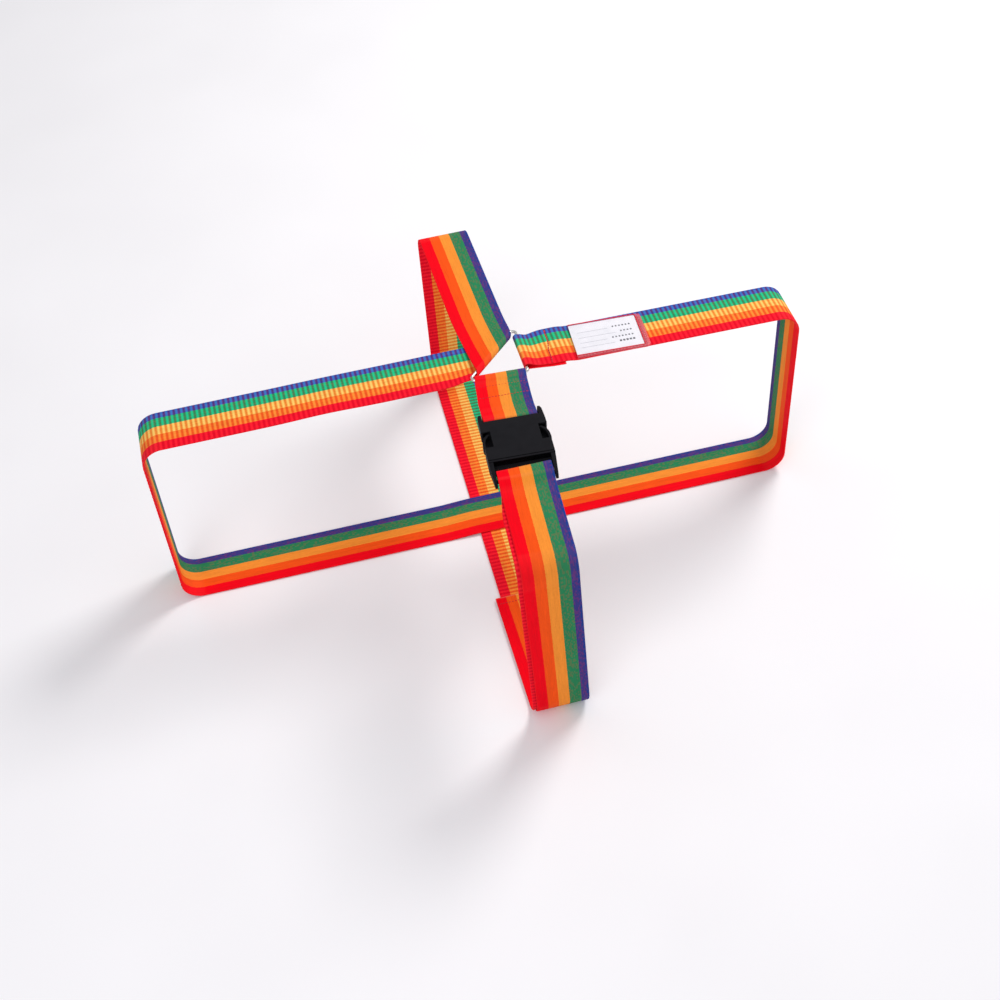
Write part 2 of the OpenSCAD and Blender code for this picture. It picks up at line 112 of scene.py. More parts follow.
# Buckle stations along the near arm, from the ring
SOCKET_BAR_V = 86.5
BAR_1 = np.array([152.0, PANEL_Z + 5])
BAR_2 = np.array([160.5, PANEL_Z + 4])
BAR_1_R, BAR_2_R = 2.0, 1.8
BAR_GAP = 0.1
HINGE_U, HINGE_V = 21.0, 138.5

# Weave
RIB = 4.65
RIB_DEPTH = 0.26
STEP = RIB / 6

across_x = np.array([1.0, 0, 0])
across_y = np.array([0, 1.0, 0])
NEAR_ACROSS = np.array([math.cos(NEAR_TURN), -math.sin(NEAR_TURN), 0])


# ---- Small geometry ----
def unit(v):
    """Vectors of length one."""
    return v / np.linalg.norm(v, axis=-1, keepdims=True)


def ease(t):
    """Smooth step from 0 to 1."""
    t = np.clip(t, 0, 1)
    return t * t * (3 - 2 * t)


def bump(x, centre, width):
    return np.exp(-((x - centre) / width) ** 2)


def arc(centre, r, start, end, n):
    a = np.radians(np.linspace(start, end, n + 1))
    return np.stack([centre[0] + r * np.cos(a), centre[1] + r * np.sin(a)], 1)


def quarter(p, q, level_first):
    """Quarter bend from p to q that starts level, or starts upright."""
    p, q = np.array(p, float), np.array(q, float)
    a = np.linspace(0, math.pi / 2, 25)[:, None]
    level, upright = (np.sin(a), 1 - np.cos(a)) if level_first else (1 - np.cos(a), np.sin(a))
    return np.hstack([p[:2] + (q[:2] - p[:2]) * level, p[2] + (q[2] - p[2]) * upright])


def near_pt(v, z, u=0.0):
    """Point of the near arm: v from the ring, u across, z up."""
    c, s = math.cos(NEAR_TURN), math.sin(NEAR_TURN)
    return np.array([NEAR_X - v * s + u * c, RING_Y - v * c - u * s, z])


def right_pt(x, y, z):
    """Point of the right arm: x from the ring, y across, z up."""
    c, s = math.cos(RIGHT_TURN), math.sin(RIGHT_TURN)
    return np.array([RING_X + x * c - y * s, RIGHT_Y + x * s + y * c, z])


def right_y(x):
    return RIGHT_Y + (x - RING_X) * math.tan(RIGHT_TURN)


def far_x(y):
    return RING_X - 0.6 + (y - RING_Y) * FAR_LEAN


def soften(points, reach=4.0):
    """Rounds the corners of a path of points [x, y, z, width]; fine arcs stay as they are."""
    out = [points[0]]
    for a, b, c in zip(points, points[1:], points[2:]):
        d0, d1 = a[:3] - b[:3], c[:3] - b[:3]
        l0, l1 = np.linalg.norm(d0), np.linalg.norm(d1)
        if l0 < 1e-6 or l1 < 1e-6 or d0 @ d1 / (l0 * l1) < -0.9985:
            out.append(b)
            continue
        start = b + (a - b) * min(0.45, reach / l0)
        end = b + (c - b) * min(0.45, reach / l1)
        for t in np.linspace(0, 1, 7):
            out.append((1 - t) ** 2 * start + 2 * t * (1 - t) * b + t * t * end)
    return np.array(out + [points[-1]])


def resample(points, step):
    """Points [x, y, z, width] set evenly along the path."""
    d = np.linalg.norm(np.diff(points[:, :3], axis=0), axis=1)
    keep = np.concatenate([[True], d > 1e-6])
    points = points[keep]
    s = np.concatenate([[0], np.cumsum(np.linalg.norm(np.diff(points[:, :3], axis=0), axis=1))])
    at = np.linspace(0, s[-1], max(2, round(s[-1] / step) + 1))
    return np.stack([np.interp(at, s, points[:, k]) for k in range(points.shape[1])], 1)


def with_width(points, width=WEB_W):
    """Points [x, y, z, width] from points [x, y, z]."""
    points = np.array(points, float)
    return np.hstack([points, np.broadcast_to(np.reshape(width, (-1, 1)), (len(points), 1))])


# ---- Webbing stations: red edge, blue edge and the normal of face A ----
def stations(path, across, face=-1):
    """Stations square to a path of points [x, y, z, width]; across is the rough way from red to blue."""
    p = resample(soften(path), STEP)
    h = unit(np.gradient(p[:, :3], axis=0))
    n = unit(np.cross(h, across))
    b = np.cross(n, h) * p[:, 3:] / 2
    return [p[:, :3] - b, p[:, :3] + b, face * n]


def joined(*runs):
    """Runs of stations one after another; a run's first station is left out where the last one ends there."""
    out = [part.copy() for part in runs[0]]
    for run in runs[1:]:
        skip = 1 if np.linalg.norm(run[0][0] - out[0][-1]) < STEP / 2 else 0
        out = [np.vstack([a, b[skip:]]) for a, b in zip(out, run)]
    return out


def lengths(edge):
    """Length along an edge, up to each of its points."""
    return np.concatenate([[0], np.cumsum(np.linalg.norm(np.diff(edge, axis=0), axis=1))])


# Cross-section: shares across from the red edge (-1) to the blue edge (1), and the face height there
SELVEDGE = np.array([0.972, 0.986, 0.996, 1])
SHARES = np.concatenate([-SELVEDGE[::-1], np.linspace(-0.94, 0.94, 13), SELVEDGE])
ROUND = np.clip((np.abs(SHARES) - 0.968) / 0.032, 0, 1)
HEIGHT = np.sqrt(1 - ROUND ** 2)


def new_mesh(name, verts, faces, material, smooth=True, sharp=None):
    """Object from points in mm."""
    mesh = bpy.data.meshes.new(name)
    mesh.from_pydata((np.asarray(verts) * MM).tolist(), [], faces)
    mesh.validate()
    mesh.polygons.foreach_set("use_smooth", [smooth] * len(mesh.polygons))
    if sharp:
        mesh.set_sharp_from_angle(angle=math.radians(sharp))
    obj = bpy.data.objects.new(name, mesh)
    bpy.context.scene.collection.objects.link(obj)
    mesh.materials.append(material)
    return obj


def dress(obj, body, node=None):
    """Body of a piece, and the CAD node that it stands for, which is hidden."""
    if node:
        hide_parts(node)
    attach(obj, body)


def loft(rings, closed=False):
    """Faces that join rings of the same number of points; rings is an array (rings, points, 3)."""
    count, sides = rings.shape[:2]
    i = np.arange(count if closed else count - 1)[:, None]
    j = np.arange(sides)[None, :]
    a, b = i * sides, (i + 1) % count * sides
    k = (j + 1) % sides
    faces = np.stack([a + j, a + k, b + k, b + j], -1).reshape(-1, 4).tolist()
    if not closed:
        faces.append(list(range(sides))[::-1])
        faces.append(list(range((count - 1) * sides, count * sides)))
    return faces


def ribbon(name, run, along, material, cut_start=False, cut_end=False):
    """Webbing between two edge lines, ribbed on face B. along holds the lengths of both edges."""
    red, blue, face_a = run
    share = (SHARES + 1) / 2
    middle = red[:, None] * (1 - share)[None, :, None] + blue[:, None] * share[None, :, None]
    y = along[0][:, None] * (1 - share) + along[1][:, None] * share
    groove = 0.5 + 0.5 * np.cos(2 * math.pi * y / RIB)
    up = HALF_T * HEIGHT[None, :] + 0 * y
    down = HALF_T * HEIGHT[None, :] - RIB_DEPTH * groove * (1 - ROUND)[None, :]
    n = face_a[:, None]
    side_a = middle + n * up[..., None]
    side_b = (middle - n * down[..., None])[:, -2:0:-1]
    rings = np.concatenate([side_a, side_b], 1)
    obj = new_mesh(name, rings.reshape(-1, 3), loft(rings), material, sharp=62)
    # For the material: place across, length along, and 0 on face A, 1 on face B
    x = SHARES * WEB_W / 2
    edge = (np.abs(SHARES) > 0.99) * 0.5
    weave = np.zeros(rings.shape)
    weave[:, :len(x), 0] = x
    weave[:, len(x):, 0] = x[-2:0:-1]
    weave[:, :len(x), 1] = y
    weave[:, len(x):, 1] = y[:, -2:0:-1]
    weave[:, :len(x), 2] = edge
    weave[:, len(x):, 2] = 1 - edge[-2:0:-1]
    attribute = obj.data.attributes.new("weave", "FLOAT_VECTOR", "POINT")
    attribute.data.foreach_set("vector", weave.reshape(-1))
    # Wear: rubbed selvedges, worn outer bends and heat-sealed cut ends
    bend = np.linalg.norm(np.gradient(face_a, axis=0), axis=1) / STEP
    worn = np.clip(bend, 0, 0.1)[:, None] + 0.1 * ROUND[None, :]
    s = along[0] - along[0][0]
    if cut_start:
        worn = worn + ease(1 - s / 1.6)[:, None]
    if cut_end:
        worn = worn + ease(1 - (s[-1] - s) / 1.6)[:, None]
    wear = np.concatenate([worn, worn[:, -2:0:-1]], 1)
    attribute = obj.data.attributes.new("wear", "FLOAT", "POINT")
    attribute.data.foreach_set("value", np.clip(wear, 0, 1).reshape(-1))
    return obj


def tube(points, radii, sides, closed=False):
    """Rings of a round wire or thread along points."""
    p = np.array(points, float)
    if closed:
        h = unit(np.roll(p, -1, 0) - np.roll(p, 1, 0))
    else:
        h = unit(np.gradient(p, axis=0))
    a = unit(np.cross(h, (0, 0, 1)))
    b = np.cross(a, h)
    t = np.linspace(0, 2 * math.pi, sides, endpoint=False)
    r = np.broadcast_to(np.reshape(radii, (-1, 1, 1)), (len(p), 1, 1))
    return p[:, None] + r * (np.cos(t)[None, :, None] * a[:, None] + np.sin(t)[None, :, None] * b[:, None])


# ---- Materials ----
def srgb(*c):
    """Linear colour of an 8-bit sRGB one."""
    shares = [x / 255 for x in c]
    return tuple(v / 12.92 if v <= 0.04045 else ((v + 0.055) / 1.055) ** 2.4 for v in shares) + (1,)


class Shader:
    """A node material, with short calls for the nodes that it needs."""

    def __init__(self, name, **sockets):
        self.material = bpy.data.materials.new(name)
        self.material.use_nodes = True
        self.tree = self.material.node_tree
        self.surface = self.tree.nodes["Principled BSDF"]
        for key, value in sockets.items():
            self.surface.inputs[key.replace("_", " ")].default_value = value

    def put(self, socket, value):
        if isinstance(value, bpy.types.NodeSocket):
            self.tree.links.new(value, socket)
        else:
            socket.default_value = value

    def node(self, kind, **settings):
        node = self.tree.nodes.new("ShaderNode" + kind)
        for key, value in settings.items():
            setattr(node, key, value)
        return node

    def math(self, operation, a, b=0.0, c=0.0):
        node = self.node("Math", operation=operation)
        for socket, value in zip(node.inputs, (a, b, c)):
            self.put(socket, value)
        return node.outputs[0]

    def vector(self, x, y, z=0.0):
        node = self.node("CombineXYZ")
        for socket, value in zip(node.inputs, (x, y, z)):
            self.put(socket, value)
        return node.outputs[0]

    def split(self, vector):
        node = self.node("SeparateXYZ")
        self.put(node.inputs[0], vector)
        return node.outputs

    def noise(self, vector, scale, detail=2.0, roughness=0.5):
        node = self.node("TexNoise")
        self.put(node.inputs["Vector"], vector)
        node.inputs["Scale"].default_value = scale
        node.inputs["Detail"].default_value = detail
        node.inputs["Roughness"].default_value = roughness
        return node.outputs["Fac"]

    def position(self):
        """Place on the resting object, in mm."""
        node = self.node("VectorMath", operation="SCALE")
        self.put(node.inputs[0], self.node("TexCoord").outputs["Object"])
        node.inputs["Scale"].default_value = 1 / MM
        return node.outputs[0]

    def span(self, value, low, high, to_low=0.0, to_high=1.0):
        node = self.node("MapRange")
        for socket, v in zip(node.inputs, (value, low, high, to_low, to_high)):
            self.put(socket, v)
        return node.outputs[0]

    def mix(self, factor, a, b, blend="MIX"):
        node = self.node("Mix", data_type="RGBA", blend_type=blend)
        self.put(node.inputs[0], factor)
        self.put(node.inputs[6], a)
        self.put(node.inputs[7], b)
        return node.outputs[2]

    def stops(self, factor, colours, interpolation="LINEAR"):
        """Colour ramp; colours is a list of (place, colour)."""
        node = self.node("ValToRGB")
        ramp = node.color_ramp
        ramp.interpolation = interpolation
        while len(ramp.elements) < len(colours):
            ramp.elements.new(1.0)
        for element, (place, colour) in zip(ramp.elements, colours):
            element.position = place
            element.color = colour
        self.put(node.inputs[0], factor)
        return node.outputs[0]

    def bump(self, height, strength, distance):
        node = self.node("Bump")
        node.inputs["Strength"].default_value = strength
        node.inputs["Distance"].default_value = distance * MM
        self.put(node.inputs["Height"], height)
        self.put(self.surface.inputs["Normal"], node.outputs[0])

    def set(self, name, value):
        self.put(self.surface.inputs[name], value)


def webbing_material():
    """Striped webbing: fine plain face A, ribbed face B, red weft that peeks through both."""
    m = Shader("webbing", Specular_IOR_Level=0.03)
    x, y, side = m.split(m.node("Attribute", attribute_name="weave").outputs["Vector"])
    wear = m.node("Attribute", attribute_name="wear").outputs["Fac"]
    wobble = m.noise(m.vector(m.math("MULTIPLY", x, 0.25), y), 0.7, 3)
    place = m.math("MULTIPLY_ADD", m.math("ADD", x, m.span(wobble, 0, 1, -0.6, 0.6)), 1 / WEB_W, 0.5)

    def stripes(*colours):
        """Red, orange, yellow, green and blue stripe, and the blue selvedge."""
        starts = (0, 0.21, 0.41, 0.62, 0.84, 0.95)
        return m.stops(place, [(at, srgb(*c)) for at, c in zip(starts, colours)], "CONSTANT")

    face_a = stripes((244, 4, 26), (246, 84, 24), (244, 145, 53), (44, 128, 84), (62, 58, 128), (32, 60, 138))
    ridge = stripes((252, 30, 48), (250, 142, 56), (250, 204, 108), (32, 196, 136), (62, 114, 192),
                    (56, 110, 192))
    # Groove colours of face B: partly the weft showing through, partly painted shade, darker and more
    # saturated than the ridges
    hollow_weft_and_painted_shade = stripes((238, 8, 40), (250, 94, 34), (250, 144, 54), (50, 136, 90), (72, 56, 134), (66, 52, 134))
    ribbed = m.math("GREATER_THAN", side, 0.5)
    turn = m.math("COSINE", m.math("MULTIPLY", y, 2 * math.pi / RIB))
    groove = m.math("MULTIPLY_ADD", turn, 0.5, 0.5)
    base = m.mix(ribbed, face_a, m.mix(m.span(turn, -0.75, 0.75), ridge, hollow_weft_and_painted_shade))
    # Red weft: sparse specks on face A, a row of dashes in each groove of face B
    cell = m.node("TexWhiteNoise", noise_dimensions="2D")
    m.put(cell.inputs["Vector"], m.vector(m.math("FLOOR", m.math("MULTIPLY", x, 1 / 1.1)),
                                          m.math("FLOOR", m.math("MULTIPLY", y, 2 / RIB))))
    chance = cell.outputs["Value"]
    cool = m.math("GREATER_THAN", x, 6.0)
    speck = m.math("MULTIPLY", m.math("GREATER_THAN", chance, 0.66), m.span(cool, 0, 1, 0.04, 0.14))
    dash = m.math("MULTIPLY", groove, m.span(chance, 0.3, 1, 0.0, 0.24))
    peek = m.math("ADD", m.math("MULTIPLY", speck, m.math("SUBTRACT", 1.0, ribbed)),
                  m.math("MULTIPLY", dash, ribbed))
    base = m.mix(peek, base, srgb(188, 24, 34))
    # Warp yarns: fine lengthwise lines, and slow changes of tone along the belt; painted shade darkens the
    # grooves of face B
    yarn = m.noise(m.vector(x, m.math("MULTIPLY", y, 0.05)), 1.3, 2, 0.7)
    slow = m.noise(m.vector(m.math("MULTIPLY", x, 0.3), m.math("MULTIPLY", y, 0.02)), 1.0, 2)
    tone = m.math("MULTIPLY", m.span(yarn, 0.3, 0.7, 0.88, 1.05), m.span(slow, 0.3, 0.7, 0.94, 1.04))
    # Painted shade: face B is a tenth darker at the bottom of each groove
    painted_groove_shade = m.math("MULTIPLY", m.math("MULTIPLY", groove, ribbed), 0.10)
    tone_and_groove_shade = m.math("MULTIPLY", tone, m.math("SUBTRACT", 1.0, painted_groove_shade))
    grey = m.node("CombineColor")
    for socket in grey.inputs[:3]:
        m.put(socket, tone_and_groove_shade)
    base = m.mix(1.0, base, grey.outputs[0], "MULTIPLY")
    m.set("Base Color", m.mix(m.math("MULTIPLY", wear, 0.16), base, srgb(250, 214, 196)))
    m.set("Roughness", m.span(yarn, 0.2, 0.8, 0.55, 0.78))
    # Yarns cross over and under each other
    yarn_w = 0.9
    warp = m.math("ABSOLUTE", m.math("SINE", m.math("MULTIPLY", x, math.pi / yarn_w)))
    number = m.math("FLOOR", m.math("MULTIPLY", x, 1 / yarn_w))
    staggered = m.math("ADD", y, m.math("MULTIPLY", number, RIB / 6))
    weft = m.math("SINE", m.math("MULTIPLY", staggered, 6 * math.pi / RIB))
    fuzz = m.noise(m.vector(x, y), 2.5, 2)
    crossing = m.math("MULTIPLY", warp, m.span(weft, -1, 1, 0.5, 1))
    m.bump(m.math("ADD", crossing, m.math("MULTIPLY", fuzz, 0.35)), 0.45, 0.14)
    return m.material


def thread_material(name, colour):
    """Twisted sewing thread."""
    m = Shader(name, Specular_IOR_Level=0.25, Sheen_Weight=0.15)
    x, y, z = m.split(m.position())
    slant = m.math("ADD", m.math("ADD", x, y), m.math("MULTIPLY", z, 2.0))
    twist = m.math("SINE", m.math("MULTIPLY", slant, 9.0))
    tone = m.noise(m.position(), 0.6, 2)
    m.set("Base Color", m.mix(m.span(tone, 0.3, 0.7), srgb(*colour), srgb(*[v * 0.78 for v in colour])))
    m.set("Roughness", m.span(tone, 0, 1, 0.5, 0.75))
    m.bump(twist, 0.5, 0.08)
    return m.material


def metal_material():
    """Bright nickel plate, lightly handled."""
    m = Shader("nickel_wire", Metallic=1.0)
    place = m.position()
    smear = m.noise(place, 0.25, 3)
    drawn = [m.math("MULTIPLY", v, k) for v, k in zip(m.split(place), (1.0, 1.0, 6.0))]
    draw = m.noise(m.vector(*drawn), 1.2, 2)
    m.set("Base Color", m.mix(m.span(smear, 0.35, 0.7), srgb(232, 230, 226), srgb(196, 194, 190)))
    m.set("Roughness", m.span(smear, 0.3, 0.7, 0.12, 0.3))
    m.bump(draw, 0.12, 0.05)
    return m.material


def plastic_material(name):
    """Black acetal with a fine moulded texture; rubbed a little."""
    m = Shader(name, Specular_IOR_Level=0.05)
    place = m.position()
    grain = m.noise(place, 3.2, 2, 0.6)
    cloud = m.noise(place, 0.09, 3)
    dark = tuple(0.0072 * k for k in (1.0, 0.97, 1.25)) + (1,)
    pale = tuple(0.0105 * k for k in (1.0, 0.97, 1.2)) + (1,)
    m.set("Base Color", m.mix(m.span(cloud, 0.3, 0.75), dark, pale))
    m.set("Roughness", m.span(cloud, 0.3, 0.7, 0.5, 0.62))
    m.bump(grain, 0.3, 0.06)
    return m.material


def vinyl_material():
    """Translucent pink-red vinyl with a faint leather print."""
    m = Shader("tag_vinyl", Specular_IOR_Level=0.3, Coat_Weight=0.08, Coat_Roughness=0.25)
    place = m.position()
    cells = m.node("TexVoronoi", feature="DISTANCE_TO_EDGE")
    m.put(cells.inputs["Vector"], place)
    cells.inputs["Scale"].default_value = 0.9
    cloud = m.noise(place, 0.12, 2)
    m.set("Base Color", m.mix(m.span(cloud, 0.3, 0.7), srgb(248, 96, 110), srgb(240, 72, 90)))
    m.set("Roughness", m.span(cloud, 0.3, 0.7, 0.22, 0.36))
    m.set("Alpha", m.span(cloud, 0.3, 0.7, 0.32, 0.40))
    m.bump(m.math("MINIMUM", cells.outputs["Distance"], 0.15), 0.25, 0.2)
    return m.material


def piping_material():
    """Solid red vinyl."""
    m = Shader("tag_piping", Specular_IOR_Level=0.2)
    cloud = m.noise(m.position(), 0.4, 2)
    m.set("Base Color", m.mix(m.span(cloud, 0.3, 0.7), srgb(226, 30, 52), srgb(206, 22, 44)))
    m.set("Roughness", m.span(cloud, 0.3, 0.7, 0.3, 0.45))
    m.bump(cloud, 0.2, 0.1)
    return m.material


def film_material():
    """Clear vinyl window, slightly wavy."""
    m = Shader("tag_film", Specular_IOR_Level=0.5, Coat_Weight=0.1, Coat_Roughness=0.06)
    place = m.position()
    wave = m.noise(place, 0.07, 2)
    m.set("Base Color", m.mix(m.span(wave, 0.3, 0.7), srgb(236, 240, 244), srgb(222, 228, 236)))
    m.set("Roughness", m.span(wave, 0.3, 0.7, 0.06, 0.14))
    m.set("Alpha", m.span(wave, 0.3, 0.7, 0.05, 0.09))
    m.bump(wave, 0.25, 0.8)
    return m.material


def card_material():
    """Coated white card."""
    m = Shader("tag_card", Specular_IOR_Level=0.3)
    place = m.position()
    fibre = m.noise(place, 2.2, 3, 0.7)
    cloud = m.noise(place, 0.06, 2)
    m.set("Base Color", m.mix(m.span(cloud, 0.3, 0.7), srgb(238, 234, 240), srgb(230, 227, 233)))
    m.set("Roughness", m.span(fibre, 0.3, 0.7, 0.5, 0.65))
    m.bump(fibre, 0.12, 0.04)
    return m.material


def ink_material():
    """Grey printing ink, a little uneven."""
    m = Shader("card_ink", Specular_IOR_Level=0.2)
    cover = m.noise(m.position(), 1.6, 2)
    m.set("Base Color", m.mix(m.span(cover, 0.3, 0.7), srgb(52, 48, 58), srgb(78, 72, 84)))
    m.set("Roughness", m.span(cover, 0.2, 0.8, 0.55, 0.75))
    return m.material


def rule_material():
    """Pale grey ruled line."""
    m = Shader("card_rule", Specular_IOR_Level=0.2)
    cover = m.noise(m.position(), 1.2, 2)
    m.set("Base Color", m.mix(m.span(cover, 0.3, 0.7), srgb(164, 160, 172), srgb(184, 180, 190)))
    m.set("Roughness", m.span(cover, 0.2, 0.8, 0.55, 0.7))
    return m.material


# ---- Camera, light and floor ----
CAMERA_ANGLES = (-10.78, 47.73, -4.67)  # azimuth, elevation and roll, in degrees
CAMERA_PLACE = (-0.1861, -1.0356, 1.1997)


def make_camera():
    azimuth, elevation, roll = (math.radians(a) for a in CAMERA_ANGLES)
    back = Vector((math.sin(azimuth) * math.cos(elevation), -math.cos(azimuth) * math.cos(elevation),
                   math.sin(elevation)))
    right = (-back).cross(Vector((0, 0, 1))).normalized()
    up = right.cross(-back)
    turned = math.cos(roll) * right + math.sin(roll) * up
    upright = -math.sin(roll) * right + math.cos(roll) * up
    data = bpy.data.cameras.new("camera")
    data.lens = 55.6
    data.sensor_width = 36
    data.shift_y = 0.003
    data.clip_end = 50
    camera = bpy.data.objects.new("camera", data)
    facing = Matrix((turned, upright, back)).transposed().to_4x4()
    camera.matrix_world = Matrix.Translation(CAMERA_PLACE) @ facing
    bpy.context.scene.collection.objects.link(camera)
    bpy.context.scene.camera = camera


def area_light(name, place, aim, size, power, colour):
    data = bpy.data.lights.new(name, "AREA")
    data.shape = "DISK"
    data.size = size
    data.energy = power
    data.color = colour
    light = bpy.data.objects.new(name, data)
    light.location = place
    light.rotation_euler = (Vector(aim) - Vector(place)).to_track_quat("-Z", "Y").to_euler()
    bpy.context.scene.collection.objects.link(light)


def make_studio():
    scene = bpy.context.scene
    scene.view_settings.view_transform = "Standard"
    world = bpy.data.worlds.new("studio")
    world.use_nodes = True
    world.node_tree.nodes["Background"].inputs["Color"].default_value = (0.97, 0.98, 1.0, 1)
    world.node_tree.nodes["Background"].inputs["Strength"].default_value = 0.60
    scene.world = world
    middle = (0, 0, 0.12)
    area_light("key", (1.2, 0.85, 1.75), middle, 0.9, 28, (1.0, 0.985, 0.96))
    area_light("front", (-0.9, -1.5, 1.5), middle, 1.6, 13, (0.97, 0.98, 1.0))
    m = Shader("floor", Specular_IOR_Level=0.1, Roughness=0.85)
    tone = m.noise(m.position(), 0.004, 2)
    m.set("Base Color", m.mix(m.span(tone, 0.3, 0.7), srgb(244, 242, 245), srgb(240, 238, 241)))
    half = 30000  # the floor is 60 m square, so that its edge is out of sight
    corners = [(-half, -half, 0), (half, -half, 0), (half, half, 0), (-half, half, 0)]
    floor = new_mesh("floor", corners, [[0, 1, 2, 3]], m.material)
    floor.location.z = -0.0003


make_camera()
make_studio()
WEBBING = webbing_material()
RED_THREAD = thread_material("red_thread", (216, 20, 36))
PINK_THREAD = thread_material("pink_thread", (238, 150, 160))
NICKEL = metal_material()
PLASTIC = plastic_material("buckle_plastic")
VINYL = vinyl_material()
PIPING = piping_material()
FILM = film_material()
CARD = card_material()
INK = ink_material()
RULE = rule_material()


# ---- The belt: one long run of stations, cut into pieces where the CAD nodes meet ----
def lengthwise_run():
    """Right arm's sewn loop, right arm, right side, under-run, left side."""
    bar_x = RING_X + RING_HALF
    lap_x = bar_x + RIGHT_LAP
    sewn_back = [[lap_x, Z_TOP], [bar_x + 24, Z_TOP], [bar_x + 4, Z_TOP]]
    upper = [[bar_x + 3.5, RING_Z + HUG - 0.8], [bar_x + 9, Z_TOP_2 + 0.5], [bar_x + 14, Z_TOP_2],
             [bar_x + 19, Z_TOP_2], [bar_x + 24, Z_TOP_2], [lap_x + 2, Z_TOP_2], [lap_x + 9, Z_TOP],
             [TURN_X, Z_TOP]]
    xz = np.vstack([sewn_back, arc((bar_x, RING_Z), HUG, 270, 90, 40), upper])
    gathered = 1 - ease((xz[:, 0] - bar_x - 4) / GATHER_L)
    y = right_y(xz[:, 0]) + RIGHT_LOOP_SHIFT * gathered
    # The sewn-back layer sits a little nearer than the layer above it
    lower = np.arange(len(xz)) < len(sewn_back)
    y = y - np.where(lower, np.interp(xz[:, 0], [bar_x, lap_x], [0.6, 2.2]), 0)
    widths = WEB_W - (WEB_W - RIGHT_LOOP_W) * gathered
    top = with_width(np.stack([xz[:, 0], y, xz[:, 1]], 1), widths)
    y1 = right_y(MID_X)
    side = np.vstack([quarter((TURN_X, right_y(TURN_X), Z_TOP), (MID_X, y1, TURN_Z_TOP), True),
                      quarter((MID_X, y1, TURN_Z_LOW), (TURN_X, y1, Z_LOW), False)])
    hump = np.array([[TURN_X, Z_LOW], [70, Z_LOW], [44, Z_LOW + PITCH], [-16, Z_LOW + PITCH],
                     [-42, Z_LOW], [-TURN_X, Z_LOW]])
    under = np.stack([hump[:, 0], np.interp(hump[:, 0], [-TURN_X, TURN_X], [LEFT_Y, y1]), hump[:, 1]], 1)
    left = np.vstack([quarter((-TURN_X, LEFT_Y, Z_LOW), (-MID_X, LEFT_Y, TURN_Z_LOW), True),
                      quarter((-MID_X, LEFT_Y, TURN_Z_TOP), (-TURN_X, LEFT_Y, Z_TOP), False)])
    return stations(np.vstack([top, with_width(np.vstack([side, under, left]))]), across_y)


def level_edges(red, blue, up):
    """Stations of a flat length from its two edges; up is 1 where face A looks up."""
    return [np.array(red), np.array(blue), np.tile([0, 0, float(up)], (len(red), 1))]


def left_run():
    """Left arm up to the ring's diagonal bar; its stations turn from square to parallel with the bar."""
    count = round((TURN_X + FOLD_Y1 - DIAG_C) / STEP)
    f = np.linspace(0, 1, count + 1)
    low, high = LEFT_Y - WEB_W / 2, LEFT_Y + WEB_W / 2
    xr = -TURN_X + f * (FOLD_Y0 - DIAG_C + TURN_X)
    xb = -TURN_X + f * (FOLD_Y1 - DIAG_C + TURN_X)
    yr = low + (FOLD_Y0 - low) * ease((xr - FOLD_Y0 + DIAG_C + 30) / 30) ** 1.3
    yb = high + (FOLD_Y1 - high) * ease((xb - FOLD_Y1 + DIAG_C + 38) / 38)
    yr = yr + 1.5 * bump(xr, RING_X - 165, 34)
    yb = yb + 0.4 * bump(xb, RING_X - 160, 40)
    z = np.full_like(f, Z_TOP)
    return level_edges(np.stack([xr, yr, z], 1), np.stack([xb, yb, z], 1), -1)


DIAGONAL = np.array([1, 1, 0]) / math.sqrt(2)
OUTWARD = np.array([1, -1, 0]) / math.sqrt(2)
CLIMB = HUG * math.pi


def fold_run():
    """Round the diagonal bar at 45 degrees."""
    a = np.linspace(-math.pi / 2, math.pi / 2, 25)[:, None]
    radial = OUTWARD * np.cos(a) + np.array([0, 0, 1]) * np.sin(a)
    shift = DIAGONAL * CLIMB * (a / math.pi + 0.5) + radial * HUG
    edges = [np.array([y - DIAG_C, y, RING_Z]) + shift for y in (FOLD_Y0, FOLD_Y1)]
    return edges + [radial]


def far_run():
    """Far arm from the ring's diagonal bar: it comes down over the left arm and spreads to its full width."""
    along = CLIMB / math.sqrt(2)

    def edge(y0, sign, bend, count):
        start_x, start_y = y0 - DIAG_C + along, y0 + along
        f = np.linspace(0, 1, count)
        y = start_y + f * (FAR_FLAT_Y - start_y)
        x = start_x + f ** bend * (far_x(FAR_FLAT_Y) + sign * WEB_W / 2 - start_x)
        settled = Z_TOP_2 - PITCH * ease((y - 51) / 30)
        down = np.clip(1 - (y - start_y) / min(50, FAR_FLAT_Y - start_y), 0, 1) ** 1.4
        return np.stack([x, y, settled + (RING_Z + HUG - settled) * down], 1)

    count = round((FAR_FLAT_Y - FOLD_Y0) / STEP)
    red, blue = edge(FOLD_Y0, -1, 0.75, count), edge(FOLD_Y1, 1, 1.0, count)
    h = unit(np.gradient((red + blue) / 2, axis=0))
    normal = unit(np.cross(blue - red, h))
    y = np.linspace(FAR_FLAT_Y, TURN_Y, round((TURN_Y - FAR_FLAT_Y) / STEP) + 1)[1:]
    z = np.full_like(y, Z_TOP)
    sides = [np.stack([far_x(y) + half, y, z], 1) for half in (-WEB_W / 2, WEB_W / 2)]
    return joined([red, blue, normal], level_edges(*sides, 1))


